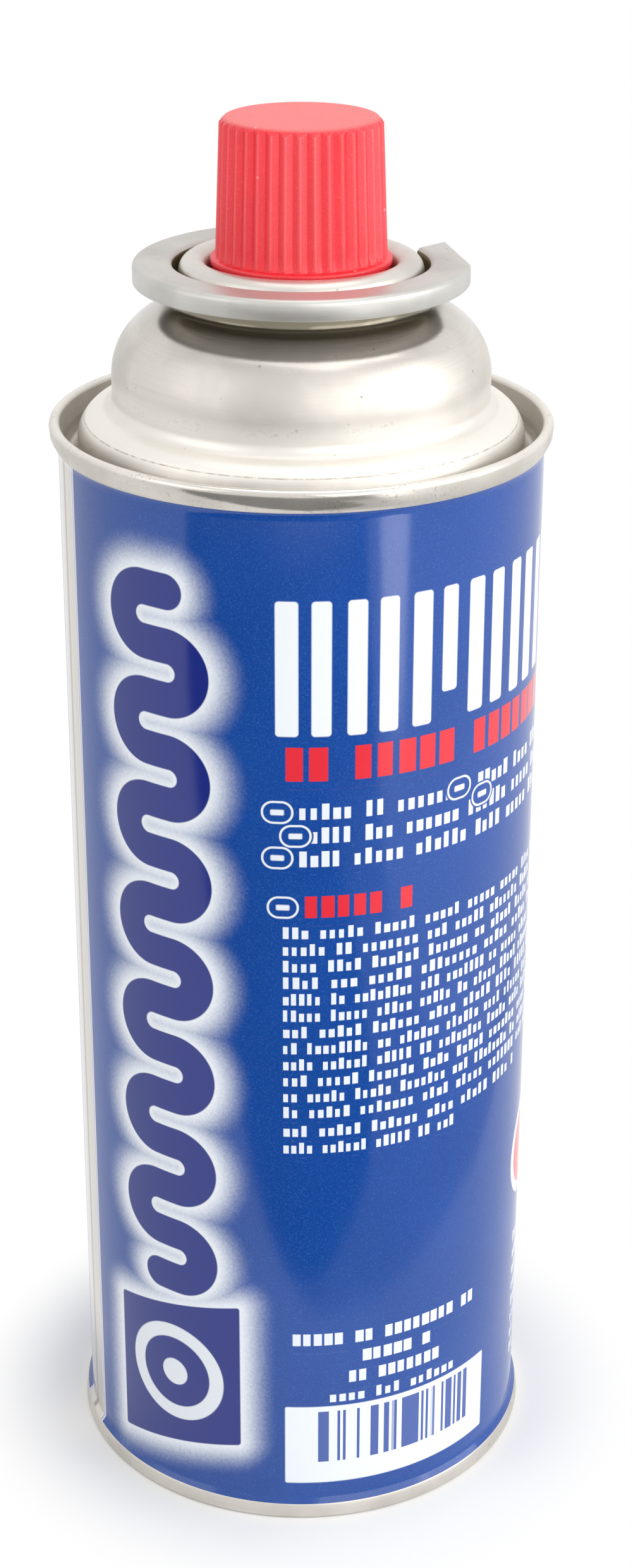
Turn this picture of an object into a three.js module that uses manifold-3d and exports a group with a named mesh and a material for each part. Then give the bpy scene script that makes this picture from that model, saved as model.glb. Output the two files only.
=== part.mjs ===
// A portable-stove fuel canister: a sealed tinplate can with a notched collar, a crimped-in valve and a cap.
// Millimetres, +Z up, the origin at the middle of the base on the surface that the can stands on.
// The notch of the collar looks back and to the right, 45.5 degrees round from +X towards +Y.

import * as THREE from 'three';
import { mergeVertices } from 'three/addons/utils/BufferGeometryUtils.js';
import Module from 'manifold-3d';

const wasm = await Module();
wasm.setup();

// Can wall and its two double seams
const wallRadius = 32.92;
const canHeight = 158.3;
const topSeamRadius = 34.06;
const topSeamHeight = 3.1;
const topSeamLip = 1.45;
const baseSeamRadius = 33.88;
const baseSeamHeight = 2.3;
const seamNeckDown = 0.9;
const baseSeamLip = 1.45;
const seamEdgeRound = 0.45;
const seamLeanIn = 0.4;

// Domed-in base
const baseChuckDepth = 4.2;
const baseChuckLean = 0.5;
const baseDomeRise = 7.0;

// Top end: chuck wall, countersink, shoulder, bulge and neck
const countersinkDepth = 4.9;
const chuckLean = 0.55;
const countersinkWidth = 1.8;
const shoulderFlat = 0.56;
const shoulderRise = 1.65;
const shoulderSlope = 15;
const stepFillet = 1.8;
const bulgeRadius = 25.5;
const bulgeRound = 9.29;
const bulgeRise = 5.87;
const neckRadius = 16.4;
const neckFillet = 1.3;
const neckRise = 17.6;

// Rolled mouth of the top end, which takes a one-inch valve cup
const mouthLipHeight = 2.2;
const clinchRoom = 1.2;
const clinchRoomHeight = 1.0;
const pocketGap = 0.5;

// Valve cup, pressed from sheet
const cupSheet = 0.4;
const cupRise = 4.1;
const cupCurlRadius = 16.3;
const cupWallRadius = 12.45;
const cupDepth = 7.6;
const cupFloorRound = 1.2;
const clinchHook = 0.6;
const clinchDrop = 6.1;
const clinchReach = 0.9;
const curlTuck = -45;
const pedestalRadius = 5.4;
const pedestalDrop = 1.3;
const pedestalRound = 0.8;
const pedestalFoot = 1.0;

// Collar, pressed from sheet with a skirt all round its outline
const collarSheet = 0.5;
const collarRise = 3.5;
const collarRadius = 22.4;
const collarHoleRadius = 17.1;
const collarSkirt = 2.7;
const collarEdgeRound = 0.75;
const collarFlatReach = 34;
const notchAngle = 45.5;
const notchWidth = 11.8;

// Valve
const stemRadius = 2.0;
const stemBore = 0.75;
const stemRise = 9.3;
const stemTipChamfer = 0.5;
const stemHoleGap = 0.45;
const stemFlangeRadius = 3.0;
const stemFlangeHeight = 1.2;
const stemBossRadius = 1.6;
const stemBossHeight = 3.0;
const stemPortRadius = 0.35;
const stemGasketThickness = 1.0;
const housingRadius = 4.85;
const housingStepRadius = 4.1;
const housingStepDrop = 6.0;
const housingBore = 3.35;
const housingFloorDrop = 13.0;
const housingFloorThickness = 1.4;
const tailRadius = 1.9;
const tailBore = 0.8;
const tailLength = 4.5;
const springWire = 0.55;
const springRadius = 2.6;
const springTurns = 6;
const cupGasketThickness = 0.45;

// Cap
const capClearsStem = 8.8;
const capWallBottomRadius = 11.4;
const capWallTopRadius = 10.7;
const capEdgeBevel = 0.75;
const capWall = 1.15;
const capRoof = 1.3;
const capLedgeRadius = 12.05;
const capLedgeDrop = 1.0;
const capLedgeHeight = 1.0;
const capSkirtRadius = 11.75;
const capSnapRadius = 12.15;
const capSnapHeight = 1.6;
const ribCount = 36;
const ribHeight = 0.5;

// Clearances
const seatGap = 0.1;
const slidingGap = 0.06;
const capFloorGap = 0.3;

// Facets, and the distance under which two corners count as one
const weldedApart = 1e-4;
const fullTurn = 360;
const canFacets = 48;
const cupFacets = 32;
const collarFacets = 38;
const smallFacets = 20;
const facetsPerRib = 3;
const stepsPerTurn = 9;

const radians = THREE.MathUtils.degToRad;

// Outlines are lists of points, x the distance from the axis and y the height.
function point(radius, height) {
  return new THREE.Vector2(radius, height);
}

// The points of an arc about a centre, from one angle to another in degrees, both ends included.
function arc(centreRadius, centreHeight, radius, fromAngle, toAngle, steps) {
  const curve = new THREE.EllipseCurve(
    centreRadius, centreHeight, radius, radius, radians(fromAngle), radians(toAngle), toAngle < fromAngle);
  return curve.getPoints(steps);
}

// A closed geometry with shared corners, no empty triangles and its faces pointing out.
function closedGeometry(source) {
  source.deleteAttribute('normal');
  source.deleteAttribute('uv');
  const merged = mergeVertices(source, weldedApart / 10);
  const position = merged.getAttribute('position');
  const corners = Array.from(merged.getIndex().array);
  const kept = [];
  let volume = 0;
  for (let i = 0; i < corners.length; i += 3) {
    const [a, b, c] = corners.slice(i, i + 3);
    if (a === b || b === c || c === a) {
      continue;
    }
    kept.push(a, b, c);
    const va = new THREE.Vector3().fromBufferAttribute(position, a);
    const vb = new THREE.Vector3().fromBufferAttribute(position, b);
    const vc = new THREE.Vector3().fromBufferAttribute(position, c);
    volume += va.dot(vb.cross(vc));
  }
  if (volume < 0) {
    kept.reverse();
  }
  const closed = new THREE.BufferGeometry();
  closed.setAttribute('position', position);
  closed.setIndex(kept);
  return closed;
}

// A body turned about the Z axis from an outline that closes on itself or on the axis.
function turned(outline, facets) {
  const lathe = new THREE.LatheGeometry(outline, facets);
  lathe.rotateX(Math.PI / 2);
  return closedGeometry(lathe);
}

// The outline of a sheet of even thickness about a centre line.
function sheetOutline(centreLine, thickness) {
  const left = [];
  const right = [];
  const last = centreLine.length - 1;
  for (let i = 0; i <= last; i += 1) {
    const before = centreLine[Math.max(i - 1, 0)];
    const after = centreLine[Math.min(i + 1, last)];
    const along = after.clone().sub(before).normalize();
    const across = point(-along.y, along.x).multiplyScalar(thickness / 2);
    left.push(centreLine[i].clone().add(across));
    right.push(centreLine[i].clone().sub(across));
  }
  const outline = left.concat(right.reverse());
  outline.push(left[0].clone());
  return outline;
}

function toSolid(geometry) {
  const vertProperties = Float32Array.from(geometry.getAttribute('position').array);
  const triVerts = Uint32Array.from(geometry.getIndex().array);
  return new wasm.Manifold(new wasm.Mesh({ numProp: 3, vertProperties, triVerts }));
}

function fromSolid(solid) {
  const mesh = solid.getMesh();
  const geometry = new THREE.BufferGeometry();
  geometry.setAttribute('position', new THREE.BufferAttribute(mesh.vertProperties, 3));
  geometry.setIndex(new THREE.BufferAttribute(mesh.triVerts, 1));
  return geometry;
}

function named(name, geometry, material) {
  geometry.computeVertexNormals();
  const mesh = new THREE.Mesh(geometry, material);
  mesh.name = name;
  return mesh;
}

const tinplate = new THREE.MeshStandardMaterial({ color: '#dcdad5', roughness: 0.3, metalness: 1 });
const printedWall = new THREE.MeshStandardMaterial({ color: '#1f4aa0', roughness: 0.35, metalness: 0.4 });
const collarSteel = new THREE.MeshStandardMaterial({ color: '#c9c7c2', roughness: 0.38, metalness: 1 });
const redPlastic = new THREE.MeshStandardMaterial({ color: '#e6323c', roughness: 0.4, metalness: 0 });
const whitePlastic = new THREE.MeshStandardMaterial({ color: '#e9e6dc', roughness: 0.45, metalness: 0 });
const darkRubber = new THREE.MeshStandardMaterial({ color: '#1c1c1c', roughness: 0.8, metalness: 0 });
const springSteel = new THREE.MeshStandardMaterial({ color: '#9c9c98', roughness: 0.3, metalness: 1 });

// Heights, each from the one that it stands on: the can's rim, its mouth, the valve cup and the stem
const bulgeHeight = canHeight + bulgeRise;
const neckHeight = canHeight + neckRise;
const collarTop = neckHeight + collarRise;
const cupTop = neckHeight + cupRise;
const cupFloor = cupTop - cupDepth;
const clinchHeight = cupTop - clinchDrop;
const pedestalTop = cupTop - pedestalDrop;
const stemTop = pedestalTop + stemRise;
const capTop = stemTop + capClearsStem + capRoof;
const capLedgeBottom = cupTop - capLedgeDrop;

// Values that more than one piece shares
const pocketFloor = cupFloor - cupSheet - pocketGap;
const pedestalCeiling = pedestalTop - cupSheet;
const stemGasketRadius = pedestalRadius - cupSheet - pedestalRound;
const stemGasketTop = pedestalCeiling - seatGap;
const stemGasketBottom = stemGasketTop - stemGasketThickness;
const housingTop = stemGasketBottom - seatGap;
const housingFloor = housingTop - housingFloorDrop;
const housingBottom = housingFloor - housingFloorThickness;
const tailBottom = housingBottom - tailLength;
const stemFlangeTop = stemGasketBottom - seatGap;
const stemFlangeBottom = stemFlangeTop - stemFlangeHeight;
const collarBottom = collarTop - collarSkirt;
const cupHalf = cupSheet / 2;
const curlRound = (cupCurlRadius - cupWallRadius) / 2 - cupHalf;
const curlCentre = cupWallRadius + cupHalf + curlRound;
const curlHeight = cupTop - cupHalf - curlRound;
const beadRound = curlRound - cupHalf - cupGasketThickness - 2 * seatGap;
const mouthRadius = curlCentre - beadRound;
const mouthBeadRadius = curlCentre + beadRound;

// The sealed can: wall, base and top end locked by their seams, with the fuel inside, as one solid.
function makeCan() {
  const seamTopInner = topSeamRadius - topSeamLip;
  const countersinkOuter = seamTopInner - chuckLean;
  const countersinkInner = countersinkOuter - countersinkWidth;
  const countersinkBottom = canHeight - countersinkDepth;
  const countersinkRound = countersinkWidth / 2;
  const countersinkCentre = countersinkOuter - countersinkRound;
  const shoulderCentre = bulgeRadius + shoulderFlat;
  const shoulderRound = countersinkInner - shoulderCentre;
  const shoulderHeight = canHeight + shoulderRise - shoulderRound;
  const slope = radians(shoulderSlope);
  const slopeStartRadius = shoulderCentre + shoulderRound * Math.sin(slope);
  const slopeStartHeight = shoulderHeight + shoulderRound * Math.cos(slope);
  const stepCentre = bulgeRadius + stepFillet;
  const slopeEndRadius = stepCentre - stepFillet * Math.sin(slope);
  const slopeEndHeight = slopeStartHeight + (slopeStartRadius - slopeEndRadius) * Math.tan(slope);
  const stepHeight = slopeEndHeight + stepFillet * Math.cos(slope);
  const bulgeCentre = bulgeRadius - bulgeRound;
  const neckCentre = neckRadius + neckFillet;
  const neckReach = bulgeRound + neckFillet;
  const neckMeet = THREE.MathUtils.radToDeg(Math.acos((neckCentre - bulgeCentre) / neckReach));
  const neckFilletHeight = bulgeHeight + neckReach * Math.sin(radians(neckMeet));
  const pocketRadius = mouthRadius + clinchRoom;
  const baseInner = baseSeamRadius - baseSeamLip;
  const baseChuckInner = baseInner - baseChuckLean;
  const wellRadius = housingRadius + pocketGap;
  const wellBottom = tailBottom - pocketGap;
  const baseDomeTop = baseChuckDepth + baseDomeRise;
  const baseDomeRadius = (baseChuckInner ** 2 + baseDomeRise ** 2) / (2 * baseDomeRise);
  const baseDomeReach = THREE.MathUtils.radToDeg(Math.asin(baseChuckInner / baseDomeRadius));
  const outline = [
    ...arc(0, baseDomeTop - baseDomeRadius, baseDomeRadius, 90, 90 - baseDomeReach, 4),
    ...arc(baseInner + seamEdgeRound, seamEdgeRound, seamEdgeRound, 180, 270, 2),
    ...arc(baseSeamRadius - seamEdgeRound, seamEdgeRound, seamEdgeRound, 270, 360, 2),
    point(baseSeamRadius - seamLeanIn / 2, baseSeamHeight),
    point(wallRadius, baseSeamHeight + seamNeckDown),
    point(wallRadius, canHeight - topSeamHeight - seamNeckDown / 2),
    point(wallRadius + seamLeanIn, canHeight - topSeamHeight),
    point(topSeamRadius - seamLeanIn / 4, canHeight - topSeamLip - seamEdgeRound),
    ...arc(topSeamRadius - topSeamLip / 2, canHeight - topSeamLip / 2, topSeamLip / 2, 0, 180, 5),
    point(countersinkOuter, countersinkBottom + countersinkRound),
    ...arc(countersinkCentre, countersinkBottom + countersinkRound, countersinkRound, -30, -150, 2),
    ...arc(shoulderCentre, shoulderHeight, shoulderRound, 0, 90 - shoulderSlope, 4),
    ...arc(stepCentre, stepHeight, stepFillet, 270 - shoulderSlope, 180, 3),
    ...arc(bulgeCentre, bulgeHeight, bulgeRound, 0, neckMeet, 6),
    ...arc(neckCentre, neckFilletHeight, neckFillet, 180 + neckMeet, 180, 2).slice(1),
    point(neckRadius, neckHeight),
    point(mouthBeadRadius, neckHeight),
    ...arc(curlCentre, curlHeight, beadRound, 0, 180, 4),
    point(mouthRadius, curlHeight - mouthLipHeight),
    point(pocketRadius, curlHeight - mouthLipHeight - clinchRoomHeight),
    point(pocketRadius, pocketFloor),
    point(wellRadius, pocketFloor),
    point(wellRadius, wellBottom),
    point(0, wellBottom),
  ];
  return named('can', turned(outline, canFacets), printedWall);
}

// The valve cup: pedestal, floor, wall clinched out under the mouth, and the curl that rolls over it.
function makeValveCup() {
  const stemHole = stemRadius + stemHoleGap;
  const wallLine = cupWallRadius + cupHalf;
  const pedestalLine = pedestalRadius - cupHalf;
  const pedestalTopLine = pedestalTop - cupHalf;
  const floorLine = cupFloor - cupHalf;
  const clinchLine = mouthRadius + clinchHook - cupHalf;
  const centreLine = [
    point(stemHole, pedestalTopLine),
    ...arc(pedestalLine - pedestalRound, pedestalTopLine - pedestalRound, pedestalRound, 90, 0, 3),
    ...arc(pedestalLine + pedestalFoot, floorLine + pedestalFoot, pedestalFoot, 180, 270, 3),
    ...arc(wallLine - cupFloorRound, floorLine + cupFloorRound, cupFloorRound, 270, 350, 3),
    point(clinchLine, clinchHeight - clinchReach / 4),
    point(clinchLine, clinchHeight + clinchReach / 4),
    point(wallLine, clinchHeight + clinchReach),
    ...arc(curlCentre, curlHeight, curlRound, 180, curlTuck, 8),
  ];
  return named('valve_cup', turned(sheetOutline(centreLine, cupSheet), cupFacets), tinplate);
}

// The gasket that the curl presses onto the rolled mouth.
function makeCupGasket() {
  const inner = beadRound + seatGap;
  const outer = inner + cupGasketThickness;
  const outline = [
    ...arc(curlCentre, curlHeight, outer, 0, 180, 5),
    ...arc(curlCentre, curlHeight, inner, 180, 0, 5),
  ];
  outline.push(outline[0].clone());
  return named('cup_gasket', turned(outline, cupFacets), darkRubber);
}

// The outline of the collar seen from above, drawn in from its edge by a given amount, with the notch at +X.
// Each side of the notch has a straight flat on the rim beside it.
function collarOutline(inset) {
  const outer = collarRadius - inset;
  const inner = collarHoleRadius + inset;
  const halfNotch = notchWidth / 2 + inset;
  const degrees = THREE.MathUtils.radToDeg;
  const innerCorner = degrees(Math.asin(halfNotch / inner));
  const outerCorner = degrees(Math.asin(halfNotch / outer));
  const flatEnd = degrees(Math.asin(notchWidth / 2 / collarRadius)) + collarFlatReach;
  const corner = arc(0, 0, outer, outerCorner, outerCorner, 1)[0];
  return new THREE.Shape([
    corner,
    ...arc(0, 0, outer, flatEnd, fullTurn - flatEnd, collarFacets),
    point(corner.x, -corner.y),
    ...arc(0, 0, inner, fullTurn - innerCorner, innerCorner, collarFacets),
  ]);
}

// A block of the collar's outline with its upper edges rounded, from below the skirt up to a top height.
function collarBlock(inset, top, drop) {
  const round = collarEdgeRound - inset;
  const geometry = new THREE.ExtrudeGeometry(collarOutline(inset), {
    depth: drop,
    bevelEnabled: true,
    bevelThickness: round,
    bevelSize: round,
    bevelOffset: -round,
    bevelSegments: 2,
  });
  geometry.translate(0, 0, top - drop - round);
  return toSolid(closedGeometry(geometry));
}

// The collar: a channel-shaped ring with a notch and two flats, on a flange that the cup's curl holds down.
function makeCollar() {
  const deep = 3 * collarSkirt;
  const shell = collarBlock(0, collarTop, deep);
  const hollow = collarBlock(collarSheet, collarTop - collarSheet, deep);
  const below = new THREE.BoxGeometry(4 * collarRadius, 4 * collarRadius, 4 * deep);
  below.translate(0, 0, collarBottom - 2 * deep);
  const channel = shell.subtract(hollow).subtract(toSolid(closedGeometry(below)));
  const flangeInner = mouthBeadRadius + seatGap;
  const flangeBottom = neckHeight + seatGap;
  const flangeTop = flangeBottom + collarSheet;
  const flangeOuter = collarHoleRadius + collarSheet;
  const wallFoot = [
    point(flangeInner, flangeBottom),
    point(flangeOuter, flangeBottom),
    point(flangeOuter, collarBottom + collarSheet),
    point(collarHoleRadius, collarBottom + collarSheet),
    point(collarHoleRadius, flangeTop),
    point(flangeInner, flangeTop),
    point(flangeInner, flangeBottom),
  ];
  const flange = toSolid(turned(wallFoot, collarFacets));
  const geometry = fromSolid(channel.add(flange));
  geometry.rotateZ(radians(notchAngle));
  return named('collar_ring', geometry, collarSteel);
}

// The valve housing, held up inside the pedestal, with a tail that lets vapour in.
function makeHousing() {
  const step = housingTop - housingStepDrop;
  const outline = [
    point(housingBore, housingTop),
    point(housingBore, housingFloor),
    point(tailBore, housingFloor),
    point(tailBore, tailBottom),
    point(tailRadius - tailBore / 2, tailBottom),
    point(tailRadius, tailBottom + tailBore),
    point(tailRadius, housingBottom),
    point(housingStepRadius - tailBore / 2, housingBottom),
    point(housingStepRadius, housingBottom + tailBore / 2),
    point(housingStepRadius, step),
    point(housingRadius, step + (housingRadius - housingStepRadius)),
    point(housingRadius, housingTop),
    point(housingBore, housingTop),
  ];
  return named('valve_housing', turned(outline, smallFacets), whitePlastic);
}

// The rubber disc under the pedestal that seals round the stem.
function makeStemGasket() {
  const hole = stemRadius + slidingGap;
  const outline = [
    point(hole, stemGasketBottom),
    point(stemGasketRadius, stemGasketBottom),
    point(stemGasketRadius, stemGasketTop),
    point(hole, stemGasketTop),
    point(hole, stemGasketBottom),
  ];
  return named('stem_gasket', turned(outline, smallFacets), darkRubber);
}

// The stem: a nozzle tube with a side port that the gasket closes, a flange and a boss for the spring.
function makeStem() {
  const boreBottom = stemGasketBottom + stemGasketThickness / 4;
  const outline = [
    point(0, stemFlangeBottom - stemBossHeight),
    point(stemBossRadius - stemTipChamfer, stemFlangeBottom - stemBossHeight),
    point(stemBossRadius, stemFlangeBottom - stemBossHeight + stemTipChamfer),
    point(stemBossRadius, stemFlangeBottom),
    point(stemFlangeRadius, stemFlangeBottom),
    point(stemFlangeRadius, stemFlangeTop),
    point(stemRadius, stemFlangeTop),
    point(stemRadius, stemTop - stemTipChamfer),
    point(stemRadius - stemTipChamfer, stemTop),
    point(stemBore, stemTop),
    point(stemBore, boreBottom),
    point(0, boreBottom),
  ];
  const port = new THREE.CylinderGeometry(stemPortRadius, stemPortRadius, stemRadius * 4, 8);
  port.translate(0, 0, boreBottom + stemPortRadius);
  const body = toSolid(turned(outline, smallFacets)).subtract(toSolid(closedGeometry(port)));
  return named('valve_stem', fromSolid(body), whitePlastic);
}

// The coil of the valve spring between the housing's floor and the stem's flange.
class Helix extends THREE.Curve {
  constructor(radius, bottom, height, turns) {
    super();
    this.radius = radius;
    this.bottom = bottom;
    this.height = height;
    this.turns = turns;
  }

  getPoint(t, target = new THREE.Vector3()) {
    const angle = 2 * Math.PI * this.turns * t;
    return target.set(
      this.radius * Math.cos(angle), this.radius * Math.sin(angle), this.bottom + this.height * t);
  }
}

function makeSpring() {
  const wire = springWire / 2;
  const bottom = housingFloor + seatGap + wire;
  const height = stemFlangeBottom - seatGap - wire - bottom;
  const section = new THREE.Shape();
  section.absarc(0, 0, wire, 0, 2 * Math.PI, false);
  const geometry = new THREE.ExtrudeGeometry(section, {
    steps: springTurns * stepsPerTurn,
    curveSegments: 3,
    bevelEnabled: false,
    extrudePath: new Helix(springRadius, bottom, height, springTurns),
  });
  return named('valve_spring', closedGeometry(geometry), springSteel);
}

// How far a rib stands out at an angle, 1 on its crest and 0 in the groove beside it.
function ribShare(facet) {
  return facet % facetsPerRib === 0 ? 0 : 1;
}

// The cap: a ribbed, tapering cup turned upside down, with a ledge and a skirt that plugs into the valve cup.
function makeCap() {
  const skirtBottom = cupFloor + capFloorGap;
  const ledgeTop = capLedgeBottom + capLedgeHeight;
  const bevelFoot = capTop - capEdgeBevel;
  const taper = (capWallBottomRadius - capWallTopRadius) / (capTop - ledgeTop);
  const wallAt = (height) => capWallBottomRadius - taper * (height - ledgeTop) - ribHeight;
  const outline = [
    point(0, skirtBottom),
    point(capSkirtRadius, skirtBottom),
    point(capSnapRadius, skirtBottom + capSnapHeight / 2),
    point(capSkirtRadius, skirtBottom + capSnapHeight),
    point(capSkirtRadius, capLedgeBottom),
    point(capLedgeRadius, capLedgeBottom + capLedgeHeight / 4),
    point(capLedgeRadius, capLedgeBottom + capLedgeHeight * 3 / 4),
    point(wallAt(ledgeTop) + ribHeight / 2, ledgeTop),
    point(wallAt(ledgeTop), ledgeTop + seatGap),
    point(wallAt(bevelFoot), bevelFoot),
    point(wallAt(bevelFoot), bevelFoot + ribHeight),
    point(wallAt(bevelFoot) + ribHeight - capEdgeBevel, capTop),
    point(0, capTop),
  ];
  const outer = turned(outline, ribCount * facetsPerRib);
  const position = outer.getAttribute('position');
  const facetAngle = 2 * Math.PI / (ribCount * facetsPerRib);
  for (let i = 0; i < position.count; i += 1) {
    const height = position.getZ(i);
    if (height > ledgeTop + seatGap / 2 && height < bevelFoot + seatGap) {
      const radius = Math.hypot(position.getX(i), position.getY(i));
      const angle = Math.atan2(position.getX(i), position.getY(i)) + 2 * Math.PI;
      const stretch = 1 + ribHeight * ribShare(Math.round(angle / facetAngle)) / radius;
      position.setX(i, position.getX(i) * stretch);
      position.setY(i, position.getY(i) * stretch);
    }
  }
  const roofUnderside = capTop - capRoof;
  const hollow = [
    point(0, skirtBottom - capWall),
    point(wallAt(ledgeTop) + ribHeight - capWall, skirtBottom - capWall),
    point(wallAt(ledgeTop) + ribHeight - capWall, capLedgeBottom),
    point(wallAt(roofUnderside) + ribHeight - capWall, roofUnderside - capEdgeBevel),
    point(wallAt(roofUnderside) + ribHeight - capWall - capEdgeBevel, roofUnderside),
    point(0, roofUnderside),
  ];
  const body = toSolid(outer).subtract(toSolid(turned(hollow, canFacets)));
  return named('cap', fromSolid(body), redPlastic);
}

const canister = new THREE.Group();
canister.add(makeCan());
canister.add(makeCollar());
canister.add(makeValveCup());
canister.add(makeCupGasket());
canister.add(makeHousing());
canister.add(makeStemGasket());
canister.add(makeStem());
canister.add(makeSpring());
canister.add(makeCap());

export default canister;
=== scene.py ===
import math

import bmesh
import bpy
from mathutils import Matrix, Vector


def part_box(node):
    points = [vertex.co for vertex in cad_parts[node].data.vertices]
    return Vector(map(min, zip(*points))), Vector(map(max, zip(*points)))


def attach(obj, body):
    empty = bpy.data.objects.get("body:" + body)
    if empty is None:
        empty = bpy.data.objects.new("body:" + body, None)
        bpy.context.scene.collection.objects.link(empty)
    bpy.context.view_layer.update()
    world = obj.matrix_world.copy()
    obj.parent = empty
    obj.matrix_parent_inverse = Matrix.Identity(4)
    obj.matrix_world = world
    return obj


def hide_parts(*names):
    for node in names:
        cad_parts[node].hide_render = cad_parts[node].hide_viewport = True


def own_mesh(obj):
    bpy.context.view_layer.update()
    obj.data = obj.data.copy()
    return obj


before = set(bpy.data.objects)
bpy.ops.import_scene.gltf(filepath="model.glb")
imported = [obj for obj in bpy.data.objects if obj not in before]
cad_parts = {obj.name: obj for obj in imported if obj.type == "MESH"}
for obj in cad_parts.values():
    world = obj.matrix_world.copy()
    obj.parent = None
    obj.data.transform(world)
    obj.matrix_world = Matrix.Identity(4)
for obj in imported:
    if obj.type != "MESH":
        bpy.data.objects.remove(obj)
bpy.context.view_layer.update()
MM = 0.001

# Sizes of the can in millimetres, nearly all of them the same as in the CAD source
WALL_RADIUS = 32.92
CAN_HEIGHT = 158.3
TOP_SEAM_RADIUS = 34.06
TOP_SEAM_HEIGHT = 3.1
SEAM_LIP = 1.45
BASE_SEAM_RADIUS = 33.88
BASE_SEAM_HEIGHT = 2.3
SEAM_NECK = 0.9
SEAM_LEAN = 0.4
SEAM_EDGE = 0.45
BASE_CHUCK = 4.2
BASE_CHUCK_LEAN = 0.5
BASE_DOME_RISE = 7.0
SEAM_FOOT = 0.12
COUNTERSINK_DEPTH = 4.9
CHUCK_LEAN = 0.55
COUNTERSINK_WIDTH = 1.8
SHOULDER_FLAT = 0.56
SHOULDER_TOP = 159.95
SHOULDER_SLOPE = 15
STEP_FILLET = 1.8
BULGE_RADIUS = 25.5
BULGE_ROUND = 9.29
BULGE_SHOULDER = 164.17
NECK_RADIUS = 16.4
NECK_FILLET = 1.3
NECK_HEIGHT = 175.9
MOUTH_LIP = 2.2
POCKET_RADIUS = 14.7
POCKET_FLOOR = 171.5
HOUSING_HOLE_RADIUS = 5.35
HOUSING_HOLE_FLOOR = 158.0
CUP_SHEET = 0.4
CUP_TOP = 180.0
CUP_CURL_RADIUS = 16.3
CUP_WALL_RADIUS = 12.45
CUP_FLOOR = 172.4
CUP_FLOOR_ROUND = 1.2
CLINCH_HEIGHT = 173.9
CLINCH_REACH = 0.9
CLINCH_HOOK = 0.6
PEDESTAL_RADIUS = 5.4
PEDESTAL_TOP = 178.7
PEDESTAL_ROUND = 0.8
PEDESTAL_FOOT = 1.0
STEM_HOLE = 2.45
CUP_GASKET = 0.45
SEAT_GAP = 0.1
COLLAR_SHEET = 0.5
COLLAR_TOP = 179.4
COLLAR_RADIUS = 22.4
COLLAR_HOLE = 17.1
COLLAR_SKIRT = 2.7
COLLAR_EDGE = 0.75
COLLAR_FLAT = 34
COLLAR_FACE_INSET = 1.6
COLLAR_FLANGE_HOLE = 15.35
NOTCH_ANGLE = 45.5
NOTCH_WIDTH = 11.8
NOTCH_CORNER = 0.5
CAP_TOP = 198.1
CAP_WALL_BOTTOM = 11.4
CAP_WALL_TOP = 10.7
CAP_BEVEL = 0.75
CAP_EDGE = 0.18
CAP_WALL = 1.15
CAP_ROOF = 1.3
CAP_LEDGE_RADIUS = 12.05
CAP_LEDGE_BOTTOM = 179.0
CAP_LEDGE_HEIGHT = 1.0
CAP_SKIRT = 11.75
CAP_SKIRT_BOTTOM = 172.7
CAP_SNAP = 12.15
CAP_SNAP_HEIGHT = 1.6
CAP_ROOF_BEVEL = 0.6
CAP_LEDGE_ROUND = 0.3
CAP_SKIRT_EDGE = 0.1
CAP_WALL_FOOT = 0.12
RIB_COUNT = 36
RIB_DEPTH = 0.5
STEM_RADIUS = 2.0
STEM_TOP = 188.0
STEM_BORE = 0.75
STEM_BORE_RISE = 0.4
STEM_BORE_ROUND = 0.15
STEM_TIP_ROUND = 0.5
STEM_FLANGE_RADIUS = 3.0
STEM_FLANGE_TOP = 177.1
STEM_FLANGE_BOTTOM = 175.9
STEM_BOSS_BOTTOM = 172.9
STEM_BOSS_RADIUS = 1.6
SPRING_WIRE = 0.55
SPRING_RADIUS = 2.6
SPRING_TURNS = 6

# Facets
ROUND_STEPS = 192
STEM_STEPS = 64
COLUMNS_PER_RIB = 10
SPRING_STEPS_PER_TURN = 24
SPRING_SIDES = 10

# The print, in millimetres round the wall from the front and up from the base: the middle of the side weld,
# how soft an edge is, and how many steps a group of small blocks takes up with its gap
WELD_PLACE = -41.5
EDGE = 0.12
GROUP = 6.0

# Pairs of tall blocks: width of the first and of the second, and how far the second stops above the foot
TALL_PAIRS = (
    (3.0, 2.6, 0.0), (2.6, 2.6, 0.0), (2.8, 2.4, 4.0), (2.8, 2.6, 0.0), (2.6, 2.8, 0.0), (3.0, 2.4, 6.0),
    (2.8, 2.6, 0.0), (2.6, 2.6, 3.0), (2.8, 2.6, 0.0),
)
TALL_LEFT = -2.8
TALL_LOW = 124.8
TALL_HIGH = 143.4
TALL_GAP = 1.7
PAIR_GAP = 2.1
WIDE_GAP = 5.0
PAIR_BEFORE_WIDE_GAP = 5

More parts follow.
